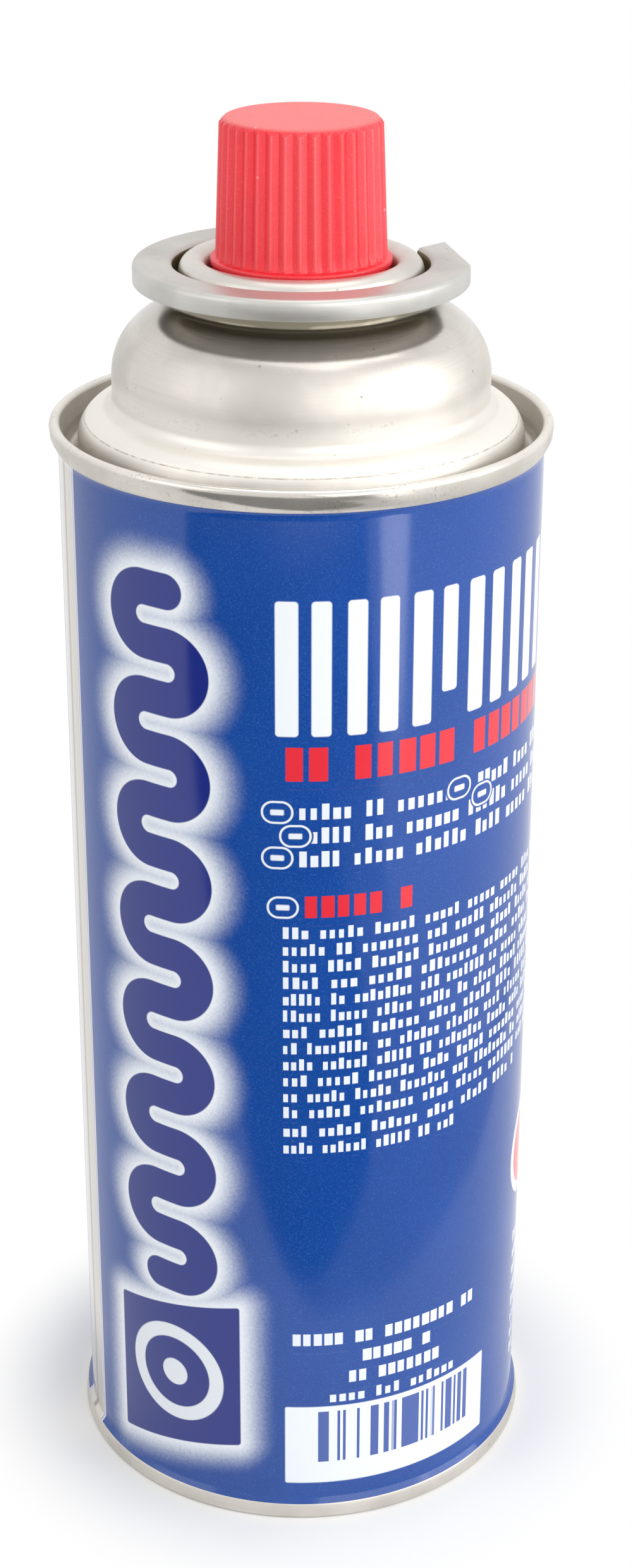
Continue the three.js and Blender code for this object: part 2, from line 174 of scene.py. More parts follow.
# Rows of small blocks: left, right, top, pitch, rows, height, seed, step, and whether all are as tall
RED_ROWS = (
    (-1.7, 66.0, 123.3, 6.0, 1, 4.8, 3.0, 3.1, True),
    (0.9, 16.2, 101.8, 4.4, 1, 3.2, 5.0, 2.2, True),
)
WHITE_ROWS = (
    (0.2, 60.0, 115.3, 3.44, 3, 2.3, 11.0, 1.5, False),
    (-2.0, 60.0, 97.2, 2.52, 12, 1.75, 23.0, 1.2, False),
    (-2.0, 41.0, 66.5, 2.52, 1, 1.75, 29.0, 1.2, False),
    (-2.0, 24.6, 63.8, 2.52, 1, 1.75, 31.0, 1.2, False),
    (-0.8, 30.4, 31.9, 3.4, 1, 2.0, 37.0, 1.6, True),
    (9.4, 21.8, 28.5, 3.4, 1, 2.0, 41.0, 1.6, True),
    (7.4, 23.4, 25.1, 3.4, 1, 2.0, 43.0, 1.6, True),
    (4.6, 26.2, 21.7, 3.4, 1, 1.8, 47.0, 1.4, False),
    (44.0, 62.0, 33.0, 2.9, 8, 1.9, 53.0, 1.4, False),
)

# Centres of the small outlined pills
PILLS = ((-2.6, 114.0), (-0.2, 110.6), (-2.6, 107.4), (-1.9, 100.1), (23.5, 114.2), (28.0, 112.0))
PILL_HALF_WIDTH = 2.0
PILL_HALF_HEIGHT = 1.5

# Corners of the cards that reflections see, in metres on the floor, and their heights above it
DARK_CARD = (
    (-0.44, -0.34), (-0.274, -0.213), (-0.16, -0.172), (-0.105, -0.158), (-0.08, -0.139), (-0.05, -0.121),
    (-0.029, -0.107), (-0.006, -0.093), (0.01, -0.091), (0.035, -0.098), (0.066, -0.107), (0.088, -0.134),
    (0.094, -0.203), (0.035, -0.353), (-0.16, -0.438), (-0.19, -0.49),
)
GREY_CARD = (
    (-0.006, -0.093), (0.009, -0.083), (0.034, -0.078), (0.059, -0.066), (0.082, -0.05), (0.103, -0.021),
    (0.117, 0.018), (0.133, 0.076), (0.15, 0.15), (0.15, -0.17), (0.185, -0.258), (0.223, -0.367),
    (0.26, -0.46), (-0.19, -0.49), (-0.16, -0.438), (0.035, -0.353),
)
BRIGHT_STRIP = (
    (0.225, -0.262), (0.262, -0.344), (0.33, -0.46), (0.45, -0.36), (0.335, -0.281), (0.25, -0.225),
)
DARK_CARD_HEIGHT = 0.0004
GREY_CARD_HEIGHT = 0.0002
BRIGHT_STRIP_HEIGHT = 0.0006
DARK_CARD_GREY = 0.03
BRIGHT_STRIP_GREY = 0.9
BRIGHT_STRIP_GLOW = 2.6

# The floor: half its side and its drop in metres, and where it turns to white, in millimetres from the axis
FLOOR_HALF = 3
FLOOR_DROP = 0.00005
FLOOR_FADE = (34.3, 54.0)

# Strength of the world's light where it isn't seen
WORLD_LIGHT = 0.66

# Lamps: name, place, target and size in metres, and power in watts
LAMPS = (
    ("front", (0.62, -0.80, 0.50), (0, 0, 0.14), (1.1, 1.0), 4.8),
    ("side", (1.05, -0.22, 0.50), (0, 0, 0.15), (0.7, 1.1), 5.0),
    ("fill", (-0.9, -0.5, 0.7), (0, 0, 0.14), (0.8, 0.9), 1.9),
    ("top", (0.1, 0.15, 1.25), (0, 0, 0.1), (0.9, 0.9), 2.5),
)

# The camera, its angles in radians, and its focal length in pixels of the frame's long side
CAMERA_PLACE = Vector((6.706, -361.642, 265.422)) * MM
CAMERA_PITCH = 0.4211
CAMERA_YAW = -0.0128
CAMERA_ROLL = -0.0021
FOCAL_PIXELS = 4374.43
FRAME_LONG_SIDE = 2480
SENSOR = 36.0

# Sockets of a colour mix node
MIX_SHARE = 0
MIX_FIRST = 6
MIX_SECOND = 7
MIX_RESULT = 2


def point(radius, height):
    return Vector((radius, height))


def arc(centre_radius, centre_height, radius, from_angle, to_angle, steps):
    """Points of an arc in degrees, both ends included."""
    points = []
    for i in range(steps + 1):
        angle = math.radians(from_angle + (to_angle - from_angle) * i / steps)
        points.append(point(centre_radius + radius * math.cos(angle),
                            centre_height + radius * math.sin(angle)))
    return points


def mirrored(points):
    """The points turned over to the other side of the x axis, in the opposite order."""
    return [Vector((p.x, -p.y)) for p in reversed(points)]


def sheet_outline(line, thickness):
    """The closed outline of a sheet of even thickness about a centre line."""
    left, right = [], []
    for i, here in enumerate(line):
        along = (line[min(i + 1, len(line) - 1)] - line[max(i - 1, 0)]).normalized()
        across = Vector((-along.y, along.x)) * thickness / 2
        left.append(here + across)
        right.append(here - across)
    return left + right[::-1]


def new_piece(name, vertices, faces, body, node):
    """A smooth mesh from vertices in millimetres, which rides on a body and replaces a CAD node."""
    mesh = bpy.data.meshes.new(name)
    mesh.from_pydata([tuple(c * MM for c in v) for v in vertices], [], faces)
    work = bmesh.new()
    work.from_mesh(mesh)
    bmesh.ops.remove_doubles(work, verts=work.verts, dist=1e-7)
    bmesh.ops.recalc_face_normals(work, faces=work.faces)
    work.to_mesh(mesh)
    work.free()
    mesh.validate()
    piece = bpy.data.objects.new(name, mesh)
    bpy.context.scene.collection.objects.link(piece)
    for polygon in mesh.polygons:
        polygon.use_smooth = True
    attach(piece, body)
    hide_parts(node)
    return piece


def lathe(name, outline, body, node, steps=ROUND_STEPS, closed=False, shape=None):
    """A turned piece: outline points about the Z axis, closed on the axis or on itself.
    shape(radius, height, turn) may move a point in or out, turn from 0 to 1 round the axis."""
    vertices, faces = [], []
    for i in range(steps):
        turn = i / steps
        angle = 2 * math.pi * turn
        for p in outline:
            radius = shape(p.x, p.y, turn) if shape else p.x
            vertices.append((radius * math.sin(angle), -radius * math.cos(angle), p.y))
    count = len(outline)
    for i in range(steps):
        here, there = i * count, ((i + 1) % steps) * count
        for j in range(count if closed else count - 1):
            k = (j + 1) % count
            faces.append((here + j, there + j, there + k, here + k))
    return new_piece(name, vertices, faces, body, node)


def sharpen(piece, degrees=32):
    """Marks edges sharper than an angle, so that smooth shading stops at them."""
    work = bmesh.new()
    work.from_mesh(piece.data)
    limit = math.radians(degrees)
    for edge in work.edges:
        edge.smooth = len(edge.link_faces) != 2 or edge.calc_face_angle(0.0) < limit
    work.to_mesh(piece.data)
    work.free()


def feed(tree, socket, value):
    """Links a field or an output to a socket, or writes a constant there."""
    if isinstance(value, Field):
        value = value.socket
    if isinstance(value, bpy.types.NodeSocket):
        tree.links.new(value, socket)
    else:
        socket.default_value = value


class Field:
    """A value in a node tree, so that patterns can be written as sums."""

    def __init__(self, tree, socket):
        self.tree = tree
        self.socket = socket

    def op(self, kind, *others):
        node = self.tree.nodes.new("ShaderNodeMath")
        node.operation = kind
        for i, value in enumerate((self,) + others):
            feed(self.tree, node.inputs[i], value)
        return Field(self.tree, node.outputs[0])

    def __add__(self, other):
        return self.op("ADD", other)

    def __sub__(self, other):
        return self.op("SUBTRACT", other)

    def __mul__(self, other):
        return self.op("MULTIPLY", other)

    def __truediv__(self, other):
        return self.op("DIVIDE", other)

    def __rsub__(self, other):
        return (self * -1.0) + other

    def abs(self):
        return self.op("ABSOLUTE")

    def fract(self):
        return self.op("FRACT")

    def floor(self):
        return self.op("FLOOR")

    def max(self, other):
        return self.op("MAXIMUM", other)

    def min(self, other):
        return self.op("MINIMUM", other)

    def above(self, other):
        return self.op("GREATER_THAN", other)

    def hypot(self, other):
        return (self * self + other * other).op("SQRT")

    def near(self, value, outer, inner):
        """1 within inner of a value and 0 beyond outer, with a soft step between."""
        return (self - value).abs().ramp(outer, inner)

    def ramp(self, low, high):
        """0 below low and 1 above high, with a soft step between. low may be the greater."""
        node = self.tree.nodes.new("ShaderNodeMapRange")
        node.interpolation_type = "SMOOTHSTEP"
        flip = low > high
        node.inputs["From Min"].default_value = min(low, high)
        node.inputs["From Max"].default_value = max(low, high)
        node.inputs["To Min"].default_value = 1.0 if flip else 0.0
        node.inputs["To Max"].default_value = 0.0 if flip else 1.0
        self.tree.links.new(self.socket, node.inputs["Value"])
        return Field(self.tree, node.outputs["Result"])


class Material:
    """A principled material whose patterns are fields of the object's own coordinates, in millimetres."""

    def __init__(self, name, **constants):
        self.material = bpy.data.materials.new(name)
        self.material.use_nodes = True
        self.tree = self.material.node_tree
        self.shader = self.tree.nodes["Principled BSDF"]
        for key, value in constants.items():
            self.shader.inputs[key.replace("_", " ")].default_value = value
        texture = self.tree.nodes.new("ShaderNodeTexCoord")
        scale = self.tree.nodes.new("ShaderNodeVectorMath")
        scale.operation = "SCALE"
        scale.inputs["Scale"].default_value = 1000.0
        self.tree.links.new(texture.outputs["Object"], scale.inputs[0])
        self.place = scale.outputs[0]
        split = self.tree.nodes.new("ShaderNodeSeparateXYZ")
        self.tree.links.new(self.place, split.inputs[0])
        self.x, self.y, self.z = (Field(self.tree, split.outputs[i]) for i in range(3))
        self.angle = self.x.op("ARCTAN2", self.y * -1.0)
        self.radius = self.x.hypot(self.y)
        self.bump_from = None

    def vector(self, x, y, z):
        node = self.tree.nodes.new("ShaderNodeCombineXYZ")
        for i, value in enumerate((x, y, z)):
            feed(self.tree, node.inputs[i], value)
        return node.outputs[0]

    def noise(self, scale, detail=2.0, rough=0.5, where=None, stretch=(1, 1, 1)):
        node = self.tree.nodes.new("ShaderNodeTexNoise")
        node.inputs["Scale"].default_value = scale
        node.inputs["Detail"].default_value = detail
        node.inputs["Roughness"].default_value = rough
        place = where or self.place
        if stretch != (1, 1, 1):
            node_scale = self.tree.nodes.new("ShaderNodeVectorMath")
            node_scale.operation = "MULTIPLY"
            node_scale.inputs[1].default_value = stretch
            self.tree.links.new(place, node_scale.inputs[0])
            place = node_scale.outputs[0]
        self.tree.links.new(place, node.inputs["Vector"])
        return Field(self.tree, node.outputs[0])

    def specks(self, scale, low, high):
        """Small round spots in some cells of a cell texture."""
        node = self.tree.nodes.new("ShaderNodeTexVoronoi")
        node.inputs["Scale"].default_value = scale
        self.tree.links.new(self.place, node.inputs["Vector"])
        split = self.tree.nodes.new("ShaderNodeSeparateColor")
        self.tree.links.new(node.outputs["Color"], split.inputs[0])
        from_centre = Field(self.tree, node.outputs["Distance"])
        pick = Field(self.tree, split.outputs[0])
        return from_centre.ramp(0.16, 0.05) * pick.ramp(low, high)

    def random(self, x, y=0.0):
        """A random number from 0 to 1 for each pair of values."""
        node = self.tree.nodes.new("ShaderNodeTexWhiteNoise")
        node.noise_dimensions = "3D"
        self.tree.links.new(self.vector(x, y, 0.0), node.inputs["Vector"])
        return Field(self.tree, node.outputs["Value"])

    def mix(self, a, b, share):
        """Colour a where share is 0 and colour b where it is 1."""
        node = self.tree.nodes.new("ShaderNodeMix")
        node.data_type = "RGBA"
        feed(self.tree, node.inputs[MIX_SHARE], share)
        for i, value in ((MIX_FIRST, a), (MIX_SECOND, b)):
            feed(self.tree, node.inputs[i], (*value, 1.0) if isinstance(value, tuple) else value)
        return node.outputs[MIX_RESULT]

    def base(self, socket):
        self.tree.links.new(socket, self.shader.inputs["Base Color"])

    def drive(self, name, field):
        self.tree.links.new(field.socket, self.shader.inputs[name])

    def bump(self, field, height_mm):
        node = self.tree.nodes.new("ShaderNodeBump")
        node.inputs["Strength"].default_value = 1.0
        node.inputs["Distance"].default_value = height_mm * MM
        self.tree.links.new(field.socket, node.inputs["Height"])
        if self.bump_from:
            self.tree.links.new(self.bump_from, node.inputs["Normal"])
        self.bump_from = node.outputs[0]
        self.tree.links.new(node.outputs[0], self.shader.inputs["Normal"])


def scaled(rgb, share):
    return tuple(min(1.0, c * share) for c in rgb)


def srgb(red, green, blue):
    """A colour written as it looks, 0 to 255, as linear values."""
    def linear(value):
        value /= 255
        return value / 12.92 if value <= 0.04045 else ((value + 0.055) / 1.055) ** 2.4
    return tuple(linear(v) for v in (red, green, blue))


# Outlines of the can

def can_outline():
    """The can from the middle of its base round to the floor of its mouth."""
    seam_inner = TOP_SEAM_RADIUS - SEAM_LIP
    sink_outer = seam_inner - CHUCK_LEAN
    sink_inner = sink_outer - COUNTERSINK_WIDTH
    sink_round = COUNTERSINK_WIDTH / 2
    sink_bottom = CAN_HEIGHT - COUNTERSINK_DEPTH
    shoulder_centre = BULGE_RADIUS + SHOULDER_FLAT
    shoulder_round = sink_inner - shoulder_centre
    shoulder_height = SHOULDER_TOP - shoulder_round
    slope = math.radians(SHOULDER_SLOPE)
    slope_start = point(shoulder_centre + shoulder_round * math.sin(slope),
                        shoulder_height + shoulder_round * math.cos(slope))
    step_centre = BULGE_RADIUS + STEP_FILLET
    slope_end = step_centre - STEP_FILLET * math.sin(slope)
    slope_end_height = slope_start.y + (slope_start.x - slope_end) * math.tan(slope)
    step_height = slope_end_height + STEP_FILLET * math.cos(slope)
    bulge_centre = BULGE_RADIUS - BULGE_ROUND
    neck_centre = NECK_RADIUS + NECK_FILLET
    reach = BULGE_ROUND + NECK_FILLET
    neck_meet = math.degrees(math.acos((neck_centre - bulge_centre) / reach))
    neck_fillet_height = BULGE_SHOULDER + reach * math.sin(math.radians(neck_meet))
    base_inner = BASE_SEAM_RADIUS - SEAM_LIP
    chuck_inner = base_inner - BASE_CHUCK_LEAN
    dome_top = BASE_CHUCK + BASE_DOME_RISE
    dome_radius = (chuck_inner ** 2 + BASE_DOME_RISE ** 2) / (2 * BASE_DOME_RISE)
    dome_reach = math.degrees(math.asin(chuck_inner / dome_radius))
    curl_round = (CUP_CURL_RADIUS - CUP_WALL_RADIUS - CUP_SHEET) / 2
    curl_centre = CUP_WALL_RADIUS + CUP_SHEET / 2 + curl_round
    curl_height = CUP_TOP - CUP_SHEET / 2 - curl_round
    bead = curl_round - CUP_SHEET / 2 - CUP_GASKET - 2 * SEAT_GAP
    return [
        *arc(0, dome_top - dome_radius, dome_radius, 90, 90 - dome_reach, 24),
        *arc(base_inner + SEAM_EDGE, SEAM_EDGE, SEAM_EDGE, 180, 270, 6),
        *arc(BASE_SEAM_RADIUS - SEAM_EDGE, SEAM_EDGE, SEAM_EDGE, 270, 360, 6),
        point(BASE_SEAM_RADIUS - SEAM_LEAN / 2, BASE_SEAM_HEIGHT - 0.25),
        point(BASE_SEAM_RADIUS - SEAM_LEAN / 2 - SEAM_FOOT, BASE_SEAM_HEIGHT),
        point(WALL_RADIUS + SEAM_FOOT, BASE_SEAM_HEIGHT + SEAM_NECK * 0.7),
        point(WALL_RADIUS, BASE_SEAM_HEIGHT + SEAM_NECK),
        *(point(WALL_RADIUS, 4 + 150 * i / 30) for i in range(31)),
        point(WALL_RADIUS, CAN_HEIGHT - TOP_SEAM_HEIGHT - SEAM_NECK / 2),
        point(WALL_RADIUS + SEAM_FOOT, CAN_HEIGHT - TOP_SEAM_HEIGHT - SEAM_NECK / 4),
        point(WALL_RADIUS + SEAM_LEAN, CAN_HEIGHT - TOP_SEAM_HEIGHT),
        point(WALL_RADIUS + SEAM_LEAN + 0.14, CAN_HEIGHT - TOP_SEAM_HEIGHT + 0.2),
        point(TOP_SEAM_RADIUS - SEAM_LEAN / 4, CAN_HEIGHT - SEAM_LIP - SEAM_EDGE),
        *arc(TOP_SEAM_RADIUS - SEAM_LIP / 2, CAN_HEIGHT - SEAM_LIP / 2, SEAM_LIP / 2, 0, 180, 20),
        point(sink_outer + 0.15, sink_bottom + COUNTERSINK_DEPTH * 0.45),
        point(sink_outer, sink_bottom + COUNTERSINK_DEPTH * 0.4),
        *arc(sink_outer - sink_round, sink_bottom + sink_round, sink_round, 0, -180, 10),
        *arc(shoulder_centre, shoulder_height, shoulder_round, 0, 90 - SHOULDER_SLOPE, 22),
        *arc(step_centre, step_height, STEP_FILLET, 270 - SHOULDER_SLOPE, 180, 14),
        *arc(bulge_centre, BULGE_SHOULDER, BULGE_ROUND, 0, neck_meet, 36),
        *arc(neck_centre, neck_fillet_height, NECK_FILLET, 180 + neck_meet, 180, 10)[1:],
        point(NECK_RADIUS, NECK_HEIGHT),
        point(curl_centre + bead, NECK_HEIGHT),
        *arc(curl_centre, curl_height, bead, 0, 180, 16),
        point(curl_centre - bead, curl_height - MOUTH_LIP),
        point(POCKET_RADIUS, curl_height - MOUTH_LIP - 1.0),
        point(POCKET_RADIUS, POCKET_FLOOR),
        point(HOUSING_HOLE_RADIUS, POCKET_FLOOR),
        point(HOUSING_HOLE_RADIUS, HOUSING_HOLE_FLOOR),
        point(0, HOUSING_HOLE_FLOOR),
    ]


# Materials

def tinplate(name, tint, rough, grain, marks_and_painted_light=None):
    """Bare tinplate: a warm bright metal with faint rolling lines round it, mottled tin and dust specks.
    It is shinier on the front of the top seam and on the crown of the bulge."""
    m = Material(name, Metallic=0.72, Specular_IOR_Level=0.5)
    rings = m.noise(1.0, 3.0, 0.6, where=m.vector(m.angle * 2.0, m.z * 5.0, m.radius * 5.0))
    cloud = m.noise(0.09, 3.0, 0.55)
    fine = m.noise(2.6, 2.0, 0.6)
    dirt = m.specks(0.62, 0.88, 0.93)
    scuff = m.noise(0.5, 5.0, 0.7, stretch=(1, 1, 3)).ramp(0.62, 0.74)
    colour = m.mix(scaled(tint, 1.05), scaled(tint, 0.86), cloud.ramp(0.35, 0.7))
    colour = m.mix(colour, scaled(tint, 0.9), rings.ramp(0.45, 0.7) * 0.5)
    colour = m.mix(colour, srgb(120, 108, 92), dirt * 0.6)
    colour = m.mix(colour, scaled(tint, 0.72), scuff * 0.35)
    # The extra colours add scratches and scuffs, and also painted shade and painted light.
    if marks_and_painted_light:
        colour = marks_and_painted_light(m, colour)
    m.base(colour)
    satin = cloud * 0.10 + fine * 0.06 + scuff * 0.12 + rough - 0.08
    shiny = m.angle.near(-0.1, 0.62, 0.3) * m.radius.ramp(32.95, 33.2) * m.z.ramp(150.0, 151.0)
    crown = m.z.ramp(168.5, 171.0) * m.z.ramp(176.3, 176.0) * m.radius.ramp(24.0, 22.5)
    m.drive("Roughness", satin * (1.0 - shiny * 0.7) * (1.0 - crown * 0.55))
    m.bump(fine, grain)
    m.bump(rings, grain * 0.8)
    return m


def can_wear_and_painted_light(m, colour):
    """Colour on the can: a darker band under the collar that is painted shade, a paler shoulder
    and foot of the bulge that are painted light, a fine ring scratched on the shoulder,
    and scuffs on the bulge and rim."""
    # Painted shade: the dome under the collar is darker, standing in for the collar's reflection and shadow.
    painted_collar_shade = m.z.ramp(168.6, 171.0) * m.radius.ramp(19.4, 17.4)
    colour = m.mix(colour, srgb(116, 108, 84), painted_collar_shade * 0.8)
    # Painted light: a paler shoulder where light falls, and a painted highlight on the foot of the bulge.
    shoulder = m.radius.ramp(25.6, 27.0) * m.z.ramp(157.6, 158.6) * 0.8
    painted_waist_highlight = m.radius.ramp(24.0, 24.6) * m.z.ramp(165.2, 162.4) * m.z.ramp(157.6, 158.6) * 0.55
    colour = m.mix(colour, srgb(246, 242, 234), shoulder.max(painted_waist_highlight))
    dashes = m.noise(1.0, 3.0, 0.6, where=m.vector(m.angle * 20.0, 0.0, 4.0)).ramp(0.3, 0.62)
    scratch = m.radius.near(29.3, 0.1, 0.02) * m.z.ramp(157.5, 158.0) * dashes
    colour = m.mix(colour, srgb(140, 124, 106), scratch * 0.6)
    grit = m.noise(2.2, 4.0, 0.75).ramp(0.52, 0.68)
    worn = (m.z - m.angle * 0.5).near(163.2, 1.0, 0.2) * m.radius.ramp(24.4, 25.2)
    colour = m.mix(colour, srgb(168, 156, 140), worn * grit * m.noise(0.12, 2.0).ramp(0.38, 0.6) * 0.4)
    edge = m.radius.ramp(32.9, 33.3) * m.z.ramp(154.9, 155.2)
    colour = m.mix(colour, srgb(150, 138, 120), edge * grit * m.noise(0.2, 3.0).ramp(0.4, 0.62) * 0.75)
    return colour


def collar_painted_shade(m, colour):
    """The hollow under the collar is darkened, as painted shade that the dome shows in its reflection."""
    under = m.z.ramp(COLLAR_TOP - COLLAR_SHEET + 0.02, COLLAR_TOP - COLLAR_SHEET - 0.02)
    inside = m.radius.ramp(COLLAR_RADIUS - COLLAR_SHEET + 0.1, COLLAR_RADIUS - COLLAR_SHEET - 0.02)
    # Dark olive: painted shade under the collar's top sheet.
    return m.mix(colour, srgb(124, 112, 80), under * inside)


def red_plastic():
    """Moulded red plastic: a fine grain, paler rib ridges and top edge, which are painted highlight
    and painted sheen, and light dust.
    """
    m = Material("red_moulded_plastic", IOR=1.49, Specular_IOR_Level=0.8)
    grain = m.noise(3.2, 3.0, 0.65)
    cloud = m.noise(0.16, 2.0, 0.5)
    dust = m.specks(0.55, 0.80, 0.86)
    # Painted sheen: the top face and edge are mixed towards pale pink.
    painted_top_sheen = m.z.ramp(CAP_TOP - 0.35, CAP_TOP - 0.05)
    fine = m.noise(6.0, 2.0, 0.6)
    slope = (CAP_WALL_BOTTOM - CAP_WALL_TOP) / (CAP_TOP - CAP_LEDGE_BOTTOM - CAP_LEDGE_HEIGHT)
    # Painted highlight: the rib ridges are mixed towards pale pink.
    painted_crest_highlight = (m.radius + m.z * slope - (CAP_WALL_TOP + CAP_TOP * slope)).ramp(-0.16, -0.03)
    painted_crest_highlight = painted_crest_highlight * m.z.ramp(CAP_LEDGE_BOTTOM + 1.2, CAP_LEDGE_BOTTOM + 1.5)
    colour = m.mix(srgb(240, 32, 49), srgb(234, 26, 43), cloud.ramp(0.35, 0.7))
    # Pale pink for the painted sheen and painted highlight, and fine random specks.
    colour = m.mix(colour, srgb(246, 128, 124), painted_top_sheen * 0.45 + painted_crest_highlight * 0.26 + fine.ramp(0.54, 0.74) * 0.3)
    colour = m.mix(colour, srgb(250, 176, 172), dust * 0.7)
    m.base(colour)
    m.drive("Roughness", grain * 0.2 + 0.3)
    m.bump(grain, 0.02)
    m.bump(fine, 0.012)
    return m


def rubber():
    m = Material("black_rubber", Roughness=0.7)
    m.base(m.mix(srgb(26, 26, 27), srgb(44, 43, 42), m.noise(1.2, 3.0).ramp(0.4, 0.7)))
    m.bump(m.noise(6.0, 2.0), 0.02)
    return m


def acetal():
    m = Material("natural_acetal", IOR=1.48)
    cloud = m.noise(0.5, 2.0)
    m.base(m.mix(srgb(236, 232, 220), srgb(222, 217, 202), cloud.ramp(0.35, 0.7)))
    m.drive("Roughness", m.noise(3.0, 2.0) * 0.15 + 0.32)
    m.bump(m.noise(5.0, 2.0), 0.01)
    return m


def spring_wire():
    m = Material("spring_wire", Metallic=1.0)
    drawn = m.noise(4.0, 3.0, 0.6)
    m.base(m.mix(srgb(172, 172, 168), srgb(132, 131, 127), drawn.ramp(0.4, 0.7)))
    m.drive("Roughness", drawn * 0.2 + 0.2)
    m.bump(drawn, 0.01)
    return m


class Print:
    """Shapes of the print on the rolled-out wall, s in millimetres round from the front and z up.
    A distance is less than 0 inside its shape."""

    def __init__(self, material):
        self.m = material
        self.s = material.angle * WALL_RADIUS
        self.z = material.z

    def block(self, left, right, low, high, corner=0.3, lean=0.0):
        """Distance to a rounded rectangle. lean is how far it rises for each millimetre to the right."""
        along = self.s - (left + right) / 2
        across = along.abs() - ((right - left) / 2 - corner)
        z = self.z - along * lean if lean else self.z
        up = (z - (low + high) / 2).abs() - ((high - low) / 2 - corner)
        return across.max(0.0).hypot(up.max(0.0)) + across.max(up).min(0.0) - corner

    def disc(self, s, z, radius):
        """Distance to a disc."""
        return (self.s - s).hypot(self.z - z) - radius

    def winding(self, s, z, rings, pitch, reach, half):
        """Distance to a winding ribbon: level bars a pitch apart, joined by half rings at alternate ends."""
        ds, dz = self.s - s, self.z - z
        right = ds.above(0.0)
        turn = dz / (2.0 * pitch) - 0.75 + right * 0.5
        off_centre = (turn - (turn + 0.5).floor().max(0.0).min(rings - 1.0)) * (2.0 * pitch)
        beyond = (ds.abs() - reach).max(0.0)
        bends = (beyond.hypot(off_centre) - pitch / 2).abs()
        ends = beyond.hypot(dz).min(beyond.hypot(dz - 2.0 * pitch * rings))
        return bends.min(ends) - half

    def window(self, left, right, low, high, soft=0.05):
        """1 inside a rectangle."""
        return (self.s.ramp(left - soft, left + soft) * self.s.ramp(right + soft, right - soft)
                * self.z.ramp(low - soft, low + soft) * self.z.ramp(high + soft, high - soft))

    def rows(self, left, right, high, pitch, count, tall, seed, step, even):
        """1 on small blocks in rows, in groups with gaps between. Where even is false, some are shorter."""
        row = ((high - self.z) / pitch).floor()
        within = ((high - self.z) / pitch).fract() * pitch
        size = self.m.random(row + seed) * step * 0.2 + step * 0.9
        along = (self.s - left) / size
        cell = along.floor()
        part = along.fract()
        group = (cell / GROUP).floor()
        gap = (self.m.random(group, row + seed) * 4.0).floor() + 2.0
        in_group = (cell - group * GROUP - gap).abs().above(0.5)
        width = self.m.random(cell + 0.5, row + seed) * 0.2 + (0.7 if even else 0.56)
        blocks = part.ramp(0.04, 0.12) * (part - width).ramp(0.08, 0.0)
        short = 0.0 if even else self.m.random(cell + 0.3, row + seed + 7.0).above(0.36) * tall * 0.28
        level = (within - short).ramp(-0.05, 0.08) * (within - tall).ramp(0.08, -0.05)
        whole = ((cell + 0.8) * size).ramp(right - left + 0.01, right - left)
        return blocks * in_group * level * whole * self.window(left, right, high - pitch * count, high + 0.1)


def fill(distance):
    """1 inside a shape and 0 outside it."""
    return distance.ramp(EDGE, -EDGE)


def union(fields):
    total = fields[0]
    for field in fields[1:]:
        total = total.max(field)
    return total


def tall_blocks(p):
    """A row of tall blocks in pairs."""
    blocks = []
    left = TALL_LEFT
    for i, (first, second, drop) in enumerate(TALL_PAIRS):
        blocks.append(fill(p.block(left, left + first, TALL_LOW, TALL_HIGH, corner=0.5)))
        left += first + TALL_GAP
        blocks.append(fill(p.block(left, left + second, TALL_LOW + drop, TALL_HIGH, corner=0.5)))
        left += second + (WIDE_GAP if i == PAIR_BEFORE_WIDE_GAP else PAIR_GAP)
    return union(blocks)


def small_blocks(p):
    """Rows of small blocks, with outlined pills that each stand clear of them."""
    pills, clear = [], []
    for s, z in PILLS:
        pill = p.block(s - PILL_HALF_WIDTH, s + PILL_HALF_WIDTH, z - PILL_HALF_HEIGHT, z + PILL_HALF_HEIGHT,
                       corner=PILL_HALF_HEIGHT - 0.05)
        clear.append(pill.ramp(0.5, 0.3))
        pills.append(pill.near(0.0, 0.22, 0.08))
        pills.append(fill(p.block(s - 0.9, s + 0.9, z - 0.4, z + 0.4, corner=0.2)))
    blocks = union([p.rows(*row) for row in WHITE_ROWS])
    return (blocks * (1.0 - union(clear))).max(union(pills))


